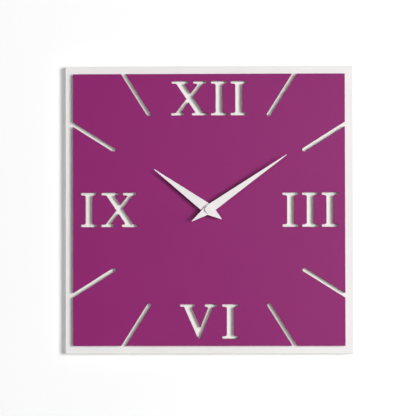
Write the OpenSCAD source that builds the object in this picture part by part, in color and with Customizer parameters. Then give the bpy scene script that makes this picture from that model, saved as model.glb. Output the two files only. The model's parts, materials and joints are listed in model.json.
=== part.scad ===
// Square wall clock: a white back board, a coloured panel with cut-out Roman numerals and hour
// slots, two kite-shaped hands and a battery quartz movement with its whole wheel train.
//
// Frame: X to the right and Z up for someone facing the dial, Y into the wall. The origin is
// the round entry of the hanging keyhole, on the plane of the back board's rear face.

/* [Boards] */
// Side of the square back board
board_size = 300; // [290:5:340]
// Thickness of the back board
board_thick = 12; // [12:0.5:16]
// Width of the back board left showing round the panel
border = 8.6; // [4:0.1:14]
// Thickness of the front panel
panel_thick = 8; // [7:0.5:9]
// Thickness of the panel left in front of the movement
panel_web = 4; // [3.5:0.5:4]
// Diameter of the rubber wall bumpers
bumper_d = 12; // [8:1:16]
// Thickness of the rubber wall bumpers
bumper_thick = 2; // [2:0.5:4]

/* [Numerals] */
// Height of the cut-out numerals
numeral_h = 35.8; // [30:0.1:37]
// Thickness of a serif
serif_t = 2.7; // [2.4:0.1:4]
// Width of an upright stem
stem_w = 7; // [6:0.1:8]
// Radius of the bracket between a stroke and its serif
bracket_r = 2; // [1:0.1:2.2]
// Distance from the dial centre to the middle of XII and VI
numeral_up = 116.1; // [110:0.1:117]
// Distance from the dial centre to the middle of III and IX
numeral_across = 105.2; // [100:0.1:108]

/* [Hour marks] */
// Width of an hour slot
slot_w = 4.0; // [3:0.1:5]
// Distance from the dial centre to a slot's round inner end
slot_start = 115.2; // [110:0.1:125]
// Angle of a slot from the nearest axis of the dial
slot_angle = 32.2; // [28:0.1:34]

/* [Hands] */
// Length of the minute hand from the dial centre
minute_len = 98.4; // [85:0.1:105]
// Length of the minute hand's tail
minute_tail = 21.3; // [15:0.1:25]
// Half the minute hand's width at the hub
minute_half = 4.7; // [4.6:0.1:6]
// Length of the hour hand from the dial centre
hour_len = 70.1; // [60:0.1:80]
// Length of the hour hand's tail
hour_tail = 16.7; // [12:0.1:20]
// Half the hour hand's width at the hub
hour_half = 5.6; // [5:0.1:6.5]
// Half the width of a hand's tip
tip_half = 0.3; // [0.3:0.1:1]
// Thickness of a hand's blade
blade_thick = 0.8; // [0.5:0.1:0.8]
// Where the minute hand points at rest, clockwise from twelve
minute_angle = 55; // [0:0.5:360]
// Where the hour hand points at rest, clockwise from twelve
hour_angle = 306.5; // [0:0.5:360]

/* [Hanging] */
// Distance from the board's top edge down to the keyhole's entry
keyhole_drop = 38; // [30:1:45]
// Radius of the keyhole's round entry
keyhole_r = 4.5; // [4:0.1:5]
// Width of the keyhole's slot
keyhole_slot_w = 4.4; // [4.2:0.1:5]
// Height of the slot's end above the entry's centre
keyhole_rise = 9; // [7:0.5:10]

/* [Movement] */
// Side of the square movement case
case_size = 56.4; // [56.4:0.1:58]
// Wall thickness of the movement case
case_wall = 1; // [0.8:0.1:1]
// Diameter of the battery cell
cell_d = 14.4; // [14:0.1:14.4]
// Length of the battery cell with its terminal
cell_len = 50.2; // [49.5:0.1:50.5]
// Radius of the setting knob
knob_r = 6.5; // [5:0.1:7]

/* [Hidden] */

$fn = 96;

dial_z = keyhole_drop - board_size / 2;   // height of the dial centre in the frame
panel_size = board_size - 2 * border;
panel_back = -board_thick;
panel_front = panel_back - panel_thick;
cut = 1;                                  // how far a cutter reaches past a face
bracket_bite = 0.02;                      // keeps a bracket's ends from thinning to nothing
screw_play = 0.05;                        // radial play of a screw in its hole
running = 0.05;                           // radial play of a shaft in its bearing

// Fasteners of the boards
panel_screw_at = panel_size / 2 - 14;
panel_screw_len = 17;
panel_screw_head = 3.5;
panel_screw_shank = 1.6;
bumper_at = board_size / 2 - 12;

// Hanging plate, in dial coordinates
keyhole_y = -dial_z;
plate_thick = 1.2;
plate_size = [44, 24];
plate_shift = 4;                          // the plate's middle above the entry
plate_corner = 3;
plate_screw_at = 16;
plate_screw_head = 2.8;
plate_screw_shank = 1.4;
plate_screw_len = 9;
plate_play = 0.2;
head_pocket = [12, 21];
head_pocket_depth = 5;
pocket_corner = 4;

// Hands, as distances in front of the panel's face
hour_lift = 11;
minute_lift = 15.5;
hour_blade = panel_front - hour_lift;
minute_blade = panel_front - minute_lift;
cap_r = 3.7;
cap_h = 3.2;
cap_edge = 0.5;
collet_h = 1.8;
collet_wall = 1.2;

// Shafts through the dial
bush_r = 4;
bush_flange_r = 5.5;
bush_flange_t = 0.4;
hour_tube_r = 2.5;
minute_tube_r = 1.6;
seconds_r = 0.65;
washer_thick = 0.8;
washer_r = 10;
steel_washer_thick = 0.5;
nut_r = 5.3;
nut_thick = 1.8;
nut_slot_w = 1.6;
bush_out = 5;                             // how far the bush stands out of the panel

// Movement case. Depths inside the movement are counted from its front face.
case_y = panel_front + panel_web + washer_thick;
case_depth = 15.5;
case_floor = 1.2;
case_corner = 2;
cover_thick = 1.2;
cover_at = case_depth - cover_thick;
case_in = case_size / 2 - case_wall;
pocket_play = 0.8;                        // room round the case in the panel's recess
recess_corner = 3;
window_play = 1.8;                        // room round the case in the board's window
window_corner = 4;
cell_gap = 0.1;
cell_y = -case_in + cell_gap + cell_d / 2;
cell_depth = case_floor + cell_gap + cell_d / 2;
bay_top = -case_in + cell_d + 2 * cell_gap;
wall_top = bay_top + case_wall;

// Wheel train: teeth, distances between shafts and the directions of those lines
motion_distance = 9;
train_distance = 9;
fifth_distance = 7.5;
rotor_distance = 7;
motion_dir = 10;
knob_dir = -20;
third_dir = 160;
fifth_dir = 60;
rotor_dir = 40;

cannon_teeth = 12;
motion_wheel_teeth = 36;
motion_pinion_teeth = 10;
hour_teeth = 40;
knob_teeth = 12;
centre_teeth = 64;
third_pinion_teeth = 8;
third_teeth = 60;
seconds_pinion_teeth = 8;
seconds_teeth = 50;
fifth_pinion_teeth = 10;
fifth_teeth = 60;
rotor_teeth = 10;

function polar(r, a) = [r * cos(a), r * sin(a)];
motion_at = polar(motion_distance, motion_dir);
knob_at = motion_at + polar(motion_distance, knob_dir);
third_at = polar(train_distance, third_dir);
fifth_at = polar(fifth_distance, fifth_dir);
rotor_at = fifth_at + polar(rotor_distance, rotor_dir);

// Depths of the wheels inside the movement, front and back of each
hour_level = [1.8, 2.7];
motion_level = [3.1, 4.0];
clutch_level = [4.2, 5.3];
centre_level = [5.3, 6.1];
mid_level = [6.8, 7.7];
third_level = [8.2, 8.9];
stator_level = [9.2, 10.2];
seconds_level = [10.1, 10.9];
core_level = [10.2, 11.2];
board_level = [11.0, 11.8];
fifth_level = [11.9, 12.6];
bridge_level = [13.1, 14.0];
pinion_over = 0.2;                        // a pinion is this much longer than its wheel at each end
pivot_r = 0.3;
pivot_end = bridge_level[1] - 0.1;
arbor_r = 0.5;
pin_r = 0.65;                             // bore of the minute wheel and of the stem's front end
stem_r = 1.2;
shoulder_play = 0.2;
end_play = 0.1;
seconds_short = 0.5;                      // the seconds arbor ends this far behind the minute hand
clutch_r = [2.6, 4];
clutch_t = 0.2;
rivet_t = 0.3;
rivet_wall = 0.8;
knob_level = [case_depth + 0.1, case_depth + 1.3];

// Teeth: involute flanks, low enough to keep clear of the small pinions' roots
pressure_angle = 28;
addendum = 0.75;
dedendum = 1;
backlash = 0.06;

// Posts of the case and of the bridge
post_r = 1.6;
post_clear = 0.1;
third_post_r = 1.1;
third_post_level = [3.2, 4.4];            // from the floor of the pivot's hole to the post's top
motion_pin_top = 4.9;
knob_post_top = 2.8;
bridge_post_r = 1.4;
mid_posts = [[-19, 13], [-19, -8], [21, 12], [21, -9]];
bridge_posts = [[-12, 14], [15.5, 5], [4, -9]];
board_posts = [[-24, -6], [-24, 23]];
bridge_outline = [[-14, 16], [-14, -1], [3, -11], [18, 4], [15, 16]];
mid_plate_x = [-21.5, 23.5];
mid_plate_top = 16;

// Stepping motor, in dial coordinates
stator_x = [-3, 22];
stator_leg_w = 4.5;
stator_bar_y = [8.8, 13.2];
stator_top = 24.5;
stator_ring_r = 4.8;
magnet_r = 2.6;
magnet_gap = 0.7;
magnet_level = [8.2, 10.8];
core_y = [19.5, 24];
core_mid = [(stator_x[0] + stator_x[1]) / 2, (core_y[0] + core_y[1]) / 2];
core_depth = (core_level[0] + core_level[1]) / 2;
bobbin_len = 15;
bobbin_r = 2.5;
flange_r = 3.4;
flange_t = 1;
winding_r = 3.2;
coil_screw_at = [for (side = [-1, 1])
    core_mid + [side * (stator_x[1] - stator_x[0] - stator_leg_w) / 2, 0]];
coil_screw_r = 0.8;
coil_screw_head = 1.5;
coil_screw_head_t = 0.8;
coil_screw_level = [stator_level[0] - 4, core_level[1]];

// Circuit board and battery contacts
circuit_x = [-26.5, -13.5];
circuit_y = [-9, 26];
chip_at = [-20, 14];
chip_r = 2.5;
chip_t = 0.9;
quartz_at = [-17, 0];
quartz_r = 1;
quartz_len = 6;
contact_t = 0.3;
tab_x = -25;                              // the contacts' tabs reach this far under the circuit board
tab_y = [-2, -1];
contact_y = [cell_y - 6, cell_y + 6];
contact_level = [3, 13];
strip_level = [9.5, 11];
terminal_r = 2.75;
terminal_len = 1;
spring_wire = 0.3;
spring_turns = 3.5;
spring_r = [5, 2.5];

// ---- Drawing helpers -------------------------------------------------------------------

// Moves its children from dial coordinates to the frame.
module at_dial() translate([0, 0, dial_z]) children();

// Gives a drawing of the dial, x to the right and y up, the thickness between two Y planes.
module layer(front, back)
    at_dial() translate([0, back, 0]) rotate([90, 0, 0]) linear_extrude(back - front) children();

// The same for a piece of the movement, between two depths behind the case's front face.
module inside(level) layer(case_y + level[0], case_y + level[1]) children();

// A cone along Y in dial coordinates, from one plane and radius to another.
module cone(at, front, front_r, back, back_r)
    at_dial() translate([at[0], front, at[1]]) rotate([-90, 0, 0])
        cylinder(h = back - front, r1 = front_r, r2 = back_r);

module disc(at, r) translate(at) circle(r);

module disc_each(places, r) for (at = places) disc(at, r);

module ring(at, outer, inner)
    translate(at) difference() {
        circle(outer);
        circle(inner);
    }

module rounded(size, r)
    union() {
        square([size[0], size[1] - 2 * r], center = true);
        square([size[0] - 2 * r, size[1]], center = true);
        for (x = [-1, 1], y = [-1, 1])
            translate([x * (size[0] / 2 - r), y * (size[1] / 2 - r)]) circle(r);
    }

// A rectangle from its lower and upper x and y.
module span(x, y) translate([x[0], y[0]]) square([x[1] - x[0], y[1] - y[0]]);

// Points along an arc, from one direction to another.
function arc(centre, r, from, to, steps) =
    [for (n = [0 : steps]) centre + polar(r, from + (to - from) * n / steps)];

// Four copies, one in each corner at the same distance from both axes.
module corners(distance)
    for (x = [-1, 1], y = [-1, 1]) translate([x * distance, y * distance]) children();

// ---- Numerals --------------------------------------------------------------------------

// Fills the corner between two edges that leave it along the unit directions u and v.
module bracket(corner, u, v) {
    half = acos(u * v) / 2;
    r = bracket_r * min(1, tan(half));
    reach = r / tan(half);
    centre = corner + (u + v) / norm(u + v) * r / sin(half);
    difference() {
        polygon([corner - (u + v) / 2, corner + u * reach, centre, corner + v * reach]);
        translate(centre) circle(r + bracket_bite);
    }
}

// A serif with round ends, at the top of a letter (side 1) or at its foot (side -1).
module serif(x, half, side)
    translate([x, side * (numeral_h - serif_t) / 2]) {
        square([2 * half - serif_t, serif_t], center = true);
        for (end = [-1, 1]) translate([end * (half - serif_t / 2), 0]) circle(serif_t / 2);
    }

// The two brackets where a stroke's edges meet a serif. The stroke runs through the point
// from, which is on the serif's inner edge, in the direction along.
module serif_brackets(from, along, width)
    for (edge = [-1, 1])
        bracket(from + [edge * width / 2, 0], [edge, 0], along / norm(along));

// A straight stroke between a serif at the foot and one at the top.
module stroke(foot_x, top_x, width) {
    reach = (numeral_h - serif_t) / 2;
    slope = (top_x - foot_x) / (2 * reach);
    inner = numeral_h / 2 - serif_t;
    mid_x = (top_x + foot_x) / 2;
    polygon([
        [foot_x - width / 2, -reach], [foot_x + width / 2, -reach],
        [top_x + width / 2, reach], [top_x - width / 2, reach]
    ]);
    for (side = [-1, 1])
        serif_brackets([mid_x + side * slope * inner, side * inner], [-side * slope, -side], width);
}

module letter_i() {
    serif_half = 8.4;
    stroke(0, 0, stem_w);
    for (side = [-1, 1]) serif(0, serif_half, side);
}

// A thick stroke falls to the right and a thin one rises to the right. Each is its middle's x at
// the foot, its middle's x at the top, and its width. Each serif is its middle and half its length.
module letter_x() {
    strokes = [[12, -10.3, 8], [-12.6, 13, 5]];
    foot_serifs = [[-12, 6.7], [11, 8.1]];
    top_serifs = [[-9.4, 8.9], [11.1, 7]];
    for (line = strokes) stroke(line[0], line[1], line[2]);
    for (foot = foot_serifs) serif(foot[0], foot[1], -1);
    for (head = top_serifs) serif(head[0], head[1], 1);
}

// Two strokes, each given by its two edges' x at the top, meet in a rounded point at the foot.
module letter_v() {
    serifs = [[-11.5, 7.8], [12.6, 6.3]];
    top = (numeral_h - serif_t) / 2;
    inner = numeral_h / 2 - serif_t;
    apex_r = 1.3;
    apex = [0.4, apex_r - numeral_h / 2];
    notch = [1.9, -6.5];
    thick = [-15.8, -8];
    thin = [11, 15.4];
    left = apex - [thick[0], top];
    right = apex - [thin[1], top];
    polygon(concat(
        [[thick[0], top], [thick[1], top], notch, [thin[0], top], [thin[1], top]],
        arc(apex, apex_r, atan2(right[0], -right[1]), atan2(-left[0], left[1]), 12)));
    for (head = serifs) serif(head[0], head[1], 1);
    for (edges = [[thick, left], [thin, right]]) {
        along = edges[1] / norm(edges[1]);
        drift = along[0] / along[1] * (inner - top);
        for (n = [0, 1])
            bracket([edges[0][n] + drift, inner], [2 * n - 1, 0], along);
    }
}

module numerals() {
    twelve = [-20.5, 10.7, 31.2];               // the middle of each letter, left to right
    six = [-10.9, 22];
    nine = [-19.7, 11.6];
    three = [-20.4, 0, 20.4];
    translate([twelve[0], numeral_up]) letter_x();
    for (n = [1, 2]) translate([twelve[n], numeral_up]) letter_i();
    translate([six[0], -numeral_up]) letter_v();
    translate([six[1], -numeral_up]) letter_i();
    translate([nine[0] - numeral_across, 0]) letter_i();
    translate([nine[1] - numeral_across, 0]) letter_x();
    for (x = three) translate([numeral_across + x, 0]) letter_i();
}

// Eight slots on rays from the dial centre, round inside and open at the panel's edge.
module hour_slots()
    for (quarter = [0, 90, 180, 270], side = [-1, 1])
        rotate(quarter + side * slot_angle)
            translate([slot_start + slot_w / 2, 0]) {
                circle(slot_w / 2);
                translate([0, -slot_w / 2]) square([panel_size / 2, slot_w]);
            }

// ---- Gears -----------------------------------------------------------------------------

function gear_module(distance, teeth, mate) = 2 * distance / (teeth + mate);

// The involute function of a pressure angle, in degrees.
function inv(a) = tan(a) * 180 / PI - a;

// Half a tooth's angle at radius r.
function half_tooth(r, teeth, m) =
    let (pitch_r = teeth * m / 2, base_r = pitch_r * cos(pressure_angle))
    (90 / teeth) * (1 - 2 * backlash / (PI * m)) + inv(pressure_angle)
        - inv(acos(min(1, base_r / max(r, base_r))));

// The direction of a tooth's middle on the mate of a gear whose own tooth points along phase.
// dir is the direction from the gear to its mate.
function mesh_phase(phase, teeth, mate, dir) =
    dir + 180 + (360 / mate) * (0.5 - (phase - dir) * teeth / 360);

// A gear's outline with one tooth pointing along phase.
module gear(at, teeth, m, phase) {
    pitch_r = teeth * m / 2;
    radii = [pitch_r - dedendum * m, pitch_r, pitch_r + addendum * m];
    translate(at) polygon([for (tooth = [0 : teeth - 1]) each [for (step = [0 : 5])
        let (r = radii[step < 3 ? step : 5 - step], side = step < 3 ? -1 : 1)
        polar(r, phase + tooth * 360 / teeth + side * half_tooth(r, teeth, m))
    ]]);
}

motion_m = gear_module(motion_distance, cannon_teeth, motion_wheel_teeth);
hour_m = gear_module(motion_distance, motion_pinion_teeth, hour_teeth);
centre_m = gear_module(train_distance, centre_teeth, third_pinion_teeth);
third_m = gear_module(train_distance, third_teeth, seconds_pinion_teeth);
seconds_m = gear_module(fifth_distance, seconds_teeth, fifth_pinion_teeth);
fifth_m = gear_module(rotor_distance, fifth_teeth, rotor_teeth);

motion_phase = mesh_phase(0, cannon_teeth, motion_wheel_teeth, motion_dir);
hour_phase = mesh_phase(0, motion_pinion_teeth, hour_teeth, motion_dir + 180);
knob_phase = mesh_phase(motion_phase, motion_wheel_teeth, knob_teeth, knob_dir);
third_phase = mesh_phase(0, centre_teeth, third_pinion_teeth, third_dir);
seconds_phase = mesh_phase(0, third_teeth, seconds_pinion_teeth, third_dir + 180);
fifth_phase = mesh_phase(0, seconds_teeth, fifth_pinion_teeth, fifth_dir);
rotor_phase = mesh_phase(0, fifth_teeth, rotor_teeth, rotor_dir);

// The level of a pinion that meshes with a wheel at the given level.
function pinion_level(level) = [level[0] - pinion_over, level[1] + pinion_over];

// A round shaft stretch between two depths of the movement.
module shaft(at, r, front, back) inside([front, back]) disc(at, r);

// ---- Boards and hanging ----------------------------------------------------------------

// A countersunk or pan-headed screw driven from behind, its head's rear face at head_y.
module screw(at, head_y, head_r, head_h, shank_r, len, pan) {
    tip = 2 * shank_r;
    difference() {
        union() {
            cone(at, head_y - head_h, pan ? head_r : shank_r, head_y, head_r);
            layer(head_y - len + tip, head_y - head_h) disc(at, shank_r);
            cone(at, head_y - len, 0.1, head_y - len + tip, shank_r);
        }
        layer(head_y - head_h * 0.6, head_y + cut)
            for (turn = [0, 90]) translate(at) rotate(turn) square([head_r, head_r / 5], center = true);
    }
}

module back_board() {
    head_h = panel_screw_head - panel_screw_shank;
    color("white") difference() {
        layer(-board_thick, 0) square(board_size, center = true);
        layer(-board_thick - cut, cut)
            rounded([1, 1] * (case_size + 2 * window_play), window_corner);
        layer(-plate_thick, cut)
            translate([0, keyhole_y + plate_shift])
                rounded(plate_size + [1, 1] * plate_play, plate_corner);
        layer(-plate_thick - head_pocket_depth, -plate_thick + cut)
            translate([0, keyhole_y + plate_shift]) rounded(head_pocket, pocket_corner);
        layer(plate_screw_shank - plate_screw_len - cut, cut)
            for (side = [-1, 1])
                disc([side * plate_screw_at, keyhole_y + plate_shift], plate_screw_shank + screw_play);
        layer(-board_thick - cut, cut) corners(panel_screw_at) circle(panel_screw_shank + screw_play);
        for (x = [-1, 1], y = [-1, 1])
            cone([x, y] * panel_screw_at, -head_h, panel_screw_shank + screw_play,
                0, panel_screw_head + screw_play);
    }
}

module front_panel()
    color([0.56, 0.2, 0.44]) difference() {
        layer(panel_front, panel_back) square(panel_size, center = true);
        layer(panel_front - cut, panel_back + cut) {
            numerals();
            hour_slots();
            circle(bush_r + screw_play);
        }
        layer(panel_front + panel_web, panel_back + cut)
            rounded([1, 1] * (case_size + 2 * pocket_play), recess_corner);
        layer(-panel_screw_len - cut / 2, panel_back + cut)
            corners(panel_screw_at) circle(panel_screw_shank + screw_play);
    }

module panel_screws()
    color("silver") for (x = [-1, 1], y = [-1, 1])
        screw([x, y] * panel_screw_at, 0, panel_screw_head, panel_screw_head - panel_screw_shank,
            panel_screw_shank, panel_screw_len, false);

module hanger_plate()
    color("lightgrey") layer(-plate_thick, 0) difference() {
        translate([0, keyhole_y + plate_shift]) rounded(plate_size, plate_corner);
        disc([0, keyhole_y], keyhole_r);
        span([-1, 1] * keyhole_slot_w / 2, [keyhole_y, keyhole_y + keyhole_rise]);
        disc([0, keyhole_y + keyhole_rise], keyhole_slot_w / 2);
        for (side = [-1, 1])
            disc([side * plate_screw_at, keyhole_y + plate_shift], plate_screw_shank + screw_play);
    }

module hanger_screws()
    color("silver") for (side = [-1, 1])
        screw([side * plate_screw_at, keyhole_y + plate_shift], 1, plate_screw_head, 1,
            plate_screw_shank, plate_screw_len, true);

module wall_bumpers()
    color("dimgrey") layer(0, bumper_thick) corners(bumper_at) circle(bumper_d / 2);

// ---- Movement case ---------------------------------------------------------------------

// Cuts away what stands deeper in the case than a given depth.
module post_top(depth) inside([depth, case_depth]) children();

module case_front()
    color([0.12, 0.12, 0.13]) difference() {
        inside([0, case_depth]) rounded([1, 1] * case_size, case_corner);
        // Room for the battery, open at the back
        inside([case_floor, case_depth + cut]) span([-1, 1] * case_in, [-case_in, bay_top]);
        // Room for the works, less the posts that stand in it
        inside([case_floor, case_depth + cut]) difference() {
            span([-1, 1] * case_in, [wall_top, case_in]);
            for (at = concat(mid_posts, board_posts, coil_screw_at, [knob_at])) disc(at, post_r);
            disc(third_at, third_post_r);
            disc(motion_at, pin_r - running);
        }
        // The cover lies on the rim of the works
        inside([cover_at, case_depth + cut])
            span([-1, 1] * (case_size / 2 + cut), [bay_top, case_size / 2 + cut]);
        // Each post ends where what it carries begins
        post_top(mid_level[0]) disc_each(mid_posts, post_r + post_clear);
        post_top(board_level[0]) disc_each(board_posts, post_r + post_clear);
        post_top(stator_level[0]) disc_each(coil_screw_at, post_r + post_clear);
        post_top(coil_screw_level[0]) disc_each(coil_screw_at, coil_screw_r);
        post_top(third_post_level[1]) disc(third_at, third_post_r + post_clear);
        post_top(third_post_level[0]) disc(third_at, pivot_r + running);
        post_top(motion_pin_top) disc(motion_at, pin_r + post_clear);
        post_top(knob_post_top) disc(knob_at, post_r + post_clear);
        post_top(case_floor) disc(knob_at, pin_r);
        // The bush's hole, and a notch for each battery contact's strip
        inside([-cut, case_floor + cut]) circle(bush_r);
        for (x = [-case_in, case_in - contact_t])
            inside(strip_level) span([x, x + contact_t], [bay_top - cut, wall_top + cut]);
    }

module case_back()
    color([0.12, 0.12, 0.13]) inside([cover_at, case_depth]) difference() {
        intersection() {
            rounded([1, 1] * case_size, case_corner);
            span([-1, 1] * case_size, [bay_top, case_size]);
        }
        disc(knob_at, stem_r + running);
    }

module centre_bush()
    color("goldenrod") {
        inside([case_floor, case_floor + bush_flange_t])
            ring([0, 0], bush_flange_r, hour_tube_r + running);
        layer(panel_front - bush_out, case_y + case_floor) ring([0, 0], bush_r, hour_tube_r + running);
    }

module rubber_washer()
    color("black") layer(case_y - washer_thick, case_y) ring([0, 0], washer_r, bush_r);

module steel_washer()
    color("silver") layer(panel_front - steel_washer_thick, panel_front) ring([0, 0], nut_r, bush_r);

module fixing_nut() {
    back = panel_front - steel_washer_thick;
    color("silver") layer(back - nut_thick, back) difference() {
        ring([0, 0], nut_r, bush_r);
        for (side = [-1, 1])
            translate([side * nut_r, 0]) square([1, 1] * nut_slot_w, center = true);
    }
}

// ---- Train plates and motor ------------------------------------------------------------

module mid_plate()
    color("ivory") inside(mid_level) difference() {
        span(mid_plate_x, [wall_top + 0.5, mid_plate_top]);
        circle(seconds_r + running);
        disc(third_at, third_post_r + post_clear);
        disc_each([fifth_at, rotor_at], pivot_r + running);
        disc(knob_at, stem_r + running);
    }

module train_bridge()
    color("ivory") {
        inside(bridge_level) difference() {
            polygon(bridge_outline);
            disc_each([[0, 0], third_at, fifth_at, rotor_at], pivot_r + running);
        }
        inside([mid_level[1], bridge_level[0]]) disc_each(bridge_posts, bridge_post_r);
    }

module stator()
    color("silver") inside(stator_level) difference() {
        union() {
            span(stator_x, stator_bar_y);
            disc(rotor_at, stator_ring_r);
            for (x = [stator_x[0], stator_x[1] - stator_leg_w])
                span([x, x + stator_leg_w], [stator_bar_y[0], stator_top]);
        }
        disc(rotor_at, magnet_r + magnet_gap);
        disc_each(coil_screw_at, coil_screw_r);
    }

module coil_core()
    color("silver") inside(core_level) difference() {
        span(stator_x, core_y);
        disc_each(coil_screw_at, coil_screw_r);
    }

// Turns about the coil's axis, which runs along X through the core.
module round_core(from_x, len, r)
    at_dial() translate([core_mid[0] + from_x, case_y + core_depth, core_mid[1]])
        rotate([0, 90, 0]) cylinder(h = len, r = r);

module coil_bobbin()
    color("ivory") difference() {
        union() {
            round_core(-bobbin_len / 2, bobbin_len, bobbin_r);
            for (x = [-bobbin_len / 2, bobbin_len / 2 - flange_t]) round_core(x, flange_t, flange_r);
        }
        inside(core_level) span(stator_x, core_y);
    }

module coil_winding()
    color("chocolate") difference() {
        round_core(-bobbin_len / 2 + flange_t, bobbin_len - 2 * flange_t, winding_r);
        round_core(-bobbin_len / 2, bobbin_len, bobbin_r);
    }

module coil_screws()
    color("silver") {
        inside([core_level[1], core_level[1] + coil_screw_head_t])
            disc_each(coil_screw_at, coil_screw_head);
        inside(coil_screw_level) disc_each(coil_screw_at, coil_screw_r);
    }

module circuit_board()
    color("darkgreen") inside(board_level) span(circuit_x, circuit_y);

module clock_chip()
    color("black") inside([board_level[1], board_level[1] + chip_t]) disc(chip_at, chip_r);

module quartz_can()
    color("silver") at_dial()
        translate([quartz_at[0], case_y + board_level[1] + quartz_r, quartz_at[1]])
            cylinder(h = quartz_len, r = quartz_r);

// ---- Battery and its contacts ----------------------------------------------------------

module contact_positive() {
    right = [case_in - contact_t, case_in];
    color("silver") {
        inside(contact_level) span(right, contact_y);
        inside(strip_level) span(right, [contact_y[1], wall_top + contact_t]);
        inside(strip_level) span([tab_x, case_in], [wall_top, wall_top + contact_t]);
    }
}

module contact_negative() {
    left = [-case_in, contact_t - case_in];
    color("silver") {
        inside(contact_level) span(left, contact_y);
        inside(strip_level) span(left, [contact_y[1], tab_y[1]]);
        inside([board_level[0] - contact_t, board_level[0]]) span([-case_in, tab_x], tab_y);
    }
}

// The negative contact's cone spring: a round wire swept along a narrowing helix.
module contact_spring() {
    sides = 8;
    steps = 72;
    start_x = contact_t + spring_wire - case_in;
    end_x = case_in - contact_t - cell_gap - cell_len - cell_gap - spring_wire;
    rings = [for (n = [0 : steps])
        let (along = n / steps, turn = spring_turns * 360 * along,
            r = spring_r[0] + (spring_r[1] - spring_r[0]) * along,
            x = start_x + (end_x - start_x) * along)
        [for (k = [0 : sides - 1])
            let (a = k * 360 / sides, out = r + spring_wire * cos(a))
            [x + spring_wire * sin(a), out * cos(turn), out * sin(turn)]]];
    faces = concat(
        [[for (k = [0 : sides - 1]) k]],
        [for (n = [0 : steps - 1], k = [0 : sides - 1])
            let (a = n * sides + k, b = n * sides + (k + 1) % sides)
            each [[a, a + sides, b + sides], [a, b + sides, b]]],
        [[for (k = [sides - 1 : -1 : 0]) steps * sides + k]]);
    color("silver") at_dial() translate([0, case_y + cell_depth, cell_y])
        polyhedron([for (section = rings) each section], faces);
}

// A stretch of the battery cell, from one x to another.
module cell_round(from, to, r)
    at_dial() translate([from, case_y + cell_depth, cell_y]) rotate([0, 90, 0])
        cylinder(h = to - from, r = r);

cell_end = case_in - contact_t - cell_gap;

module cell_can()
    color("seagreen") cell_round(cell_end - cell_len, cell_end - terminal_len, cell_d / 2);

module cell_terminal()
    color("silver") cell_round(cell_end - terminal_len, cell_end, terminal_r);

// ---- Hands and motion work -------------------------------------------------------------

// A kite-shaped hand pointing along +y: straight edges run tangent to its round hub.
module hand(len, tail, half) {
    tip = len - tip_half;
    end = tail - tip_half;
    tip_turn = acos((half - tip_half) / tip);
    end_turn = acos((half - tip_half) / end);
    polygon(concat(
        arc([0, 0], half, end_turn - 90, 90 - tip_turn, 8),
        arc([0, tip], tip_half, 90 - tip_turn, 90 + tip_turn, 12),
        arc([0, 0], half, 90 + tip_turn, 270 - end_turn, 8),
        arc([0, -end], tip_half, 270 - end_turn, 270 + end_turn, 12)));
}

module minute_hand()
    color("white") layer(minute_blade - blade_thick, minute_blade) rotate(-minute_angle)
        difference() {
            hand(minute_len, minute_tail, minute_half);
            circle(minute_tube_r);
        }

module minute_cap() {
    top = cap_h - cap_edge;
    color("white") at_dial() translate([0, minute_blade - blade_thick, 0]) rotate([90, 0, 0])
        rotate_extrude() {
            square([cap_r, top]);
            square([cap_r - cap_edge, cap_h]);
            intersection() {
                translate([cap_r - cap_edge, top]) circle(cap_edge);
                square([cap_r, cap_h]);
            }
        }
}

module minute_collet()
    color("goldenrod") layer(minute_blade, minute_blade + collet_h)
        ring([0, 0], minute_tube_r + collet_wall, minute_tube_r);

module minute_arbor()
    color("goldenrod") difference() {
        union() {
            layer(minute_blade - blade_thick, case_y + centre_level[1]) circle(minute_tube_r);
            inside(motion_level) gear([0, 0], cannon_teeth, motion_m, 0);
            inside([centre_level[1], centre_level[1] + rivet_t]) circle(minute_tube_r + rivet_wall);
        }
        layer(minute_blade - blade_thick - cut, case_y + case_depth) circle(seconds_r + running);
    }

module centre_wheel()
    color("ivory") inside(centre_level) difference() {
        gear([0, 0], centre_teeth, centre_m, 0);
        circle(minute_tube_r);
    }

// Dished friction washer that lets the hands be set while the train stands still.
module clutch_spring() {
    front = clutch_level[0];
    back = clutch_level[1];
    color("goldenrod") difference() {
        cone([0, 0], case_y + front, clutch_r[0], case_y + back, clutch_r[1]);
        cone([0, 0], case_y + front + clutch_t, clutch_r[0] - clutch_t,
            case_y + back + clutch_t, clutch_r[1] - clutch_t);
        layer(case_y + front - cut, case_y + back + cut) circle(minute_tube_r);
    }
}

module hour_hand()
    color("white") layer(hour_blade - blade_thick, hour_blade) rotate(-hour_angle) difference() {
        hand(hour_len, hour_tail, hour_half);
        circle(hour_tube_r);
    }

module hour_collet()
    color("goldenrod") layer(hour_blade, hour_blade + collet_h)
        ring([0, 0], hour_tube_r + collet_wall, hour_tube_r);

module hour_wheel()
    color("ivory") difference() {
        union() {
            inside(hour_level) gear([0, 0], hour_teeth, hour_m, hour_phase);
            layer(hour_blade - blade_thick, case_y + hour_level[0]) circle(hour_tube_r);
        }
        layer(hour_blade - blade_thick - cut, case_y + hour_level[1] + cut)
            circle(minute_tube_r + running);
    }

module minute_wheel()
    color("ivory") difference() {
        union() {
            inside(motion_level) gear(motion_at, motion_wheel_teeth, motion_m, motion_phase);
            inside([hour_level[1], motion_level[0]]) disc(motion_at, stem_r);
            inside(hour_level) gear(motion_at, motion_pinion_teeth, hour_m, 0);
        }
        inside([0, case_depth]) disc(motion_at, pin_r);
    }

module setting_knob() {
    notches = 24;
    notch_r = 0.55;
    color([0.16, 0.16, 0.17]) inside(knob_level) difference() {
        disc(knob_at, knob_r);
        disc(knob_at, stem_r);
        for (n = [1 : notches])
            disc(knob_at + polar(knob_r + notch_r / 2, n * 360 / notches), notch_r);
    }
}

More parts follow.
